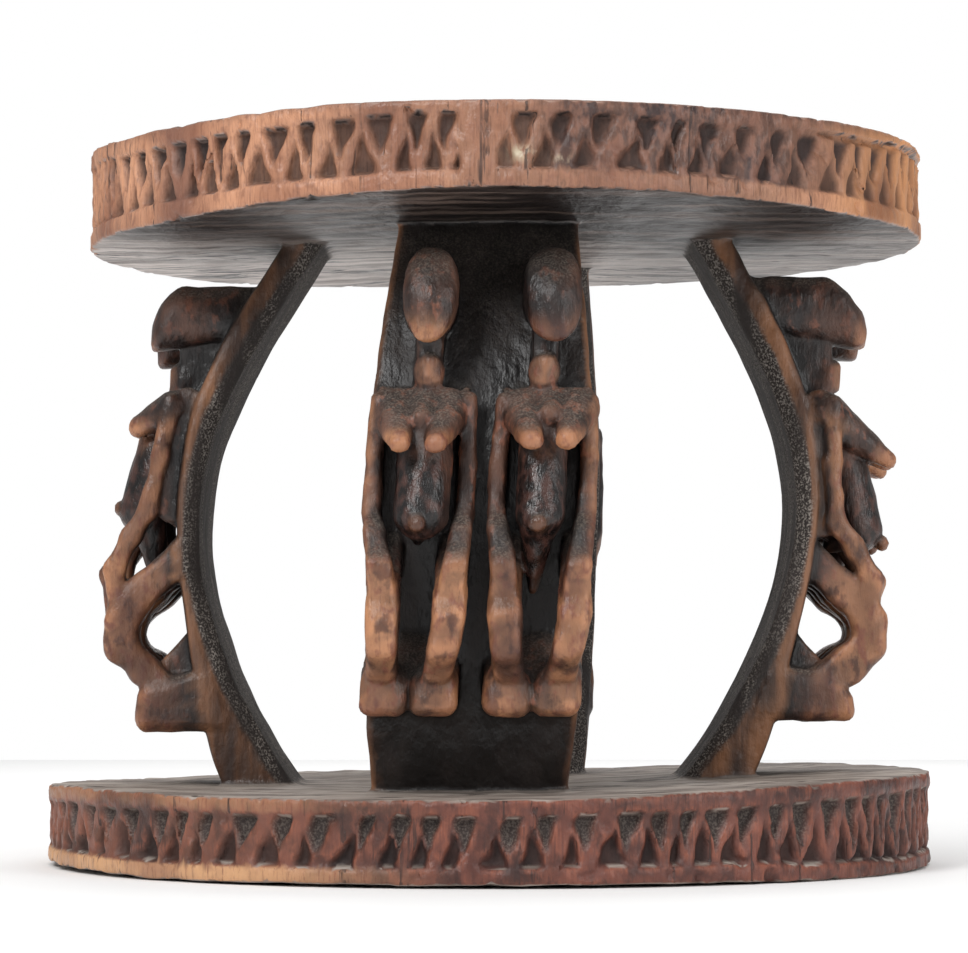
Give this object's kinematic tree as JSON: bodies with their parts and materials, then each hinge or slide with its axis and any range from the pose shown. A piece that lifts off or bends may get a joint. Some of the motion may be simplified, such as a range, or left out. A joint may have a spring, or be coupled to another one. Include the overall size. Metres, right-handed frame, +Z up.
{
  "type": "altar stool",
  "caption": "Round carved wooden stool: seat and base discs with zigzag rims, joined by bowed supports that carry seated figures in relief.",
  "frame": {"origin": "middle of the base disc's underside", "axes": "+Z up through the seat, -Y towards the viewer of the picture, +X to the viewer's right; the supports stand on the X and Y axes"},
  "size_m": [0.4, 0.4, 0.3205],
  "materials": {
    "carved_wood": "worn, oiled by handling, dusty in the recesses"
  },
  "bodies": {
    "root": {"stool": "carved_wood"}
  },
  "joints": []
}
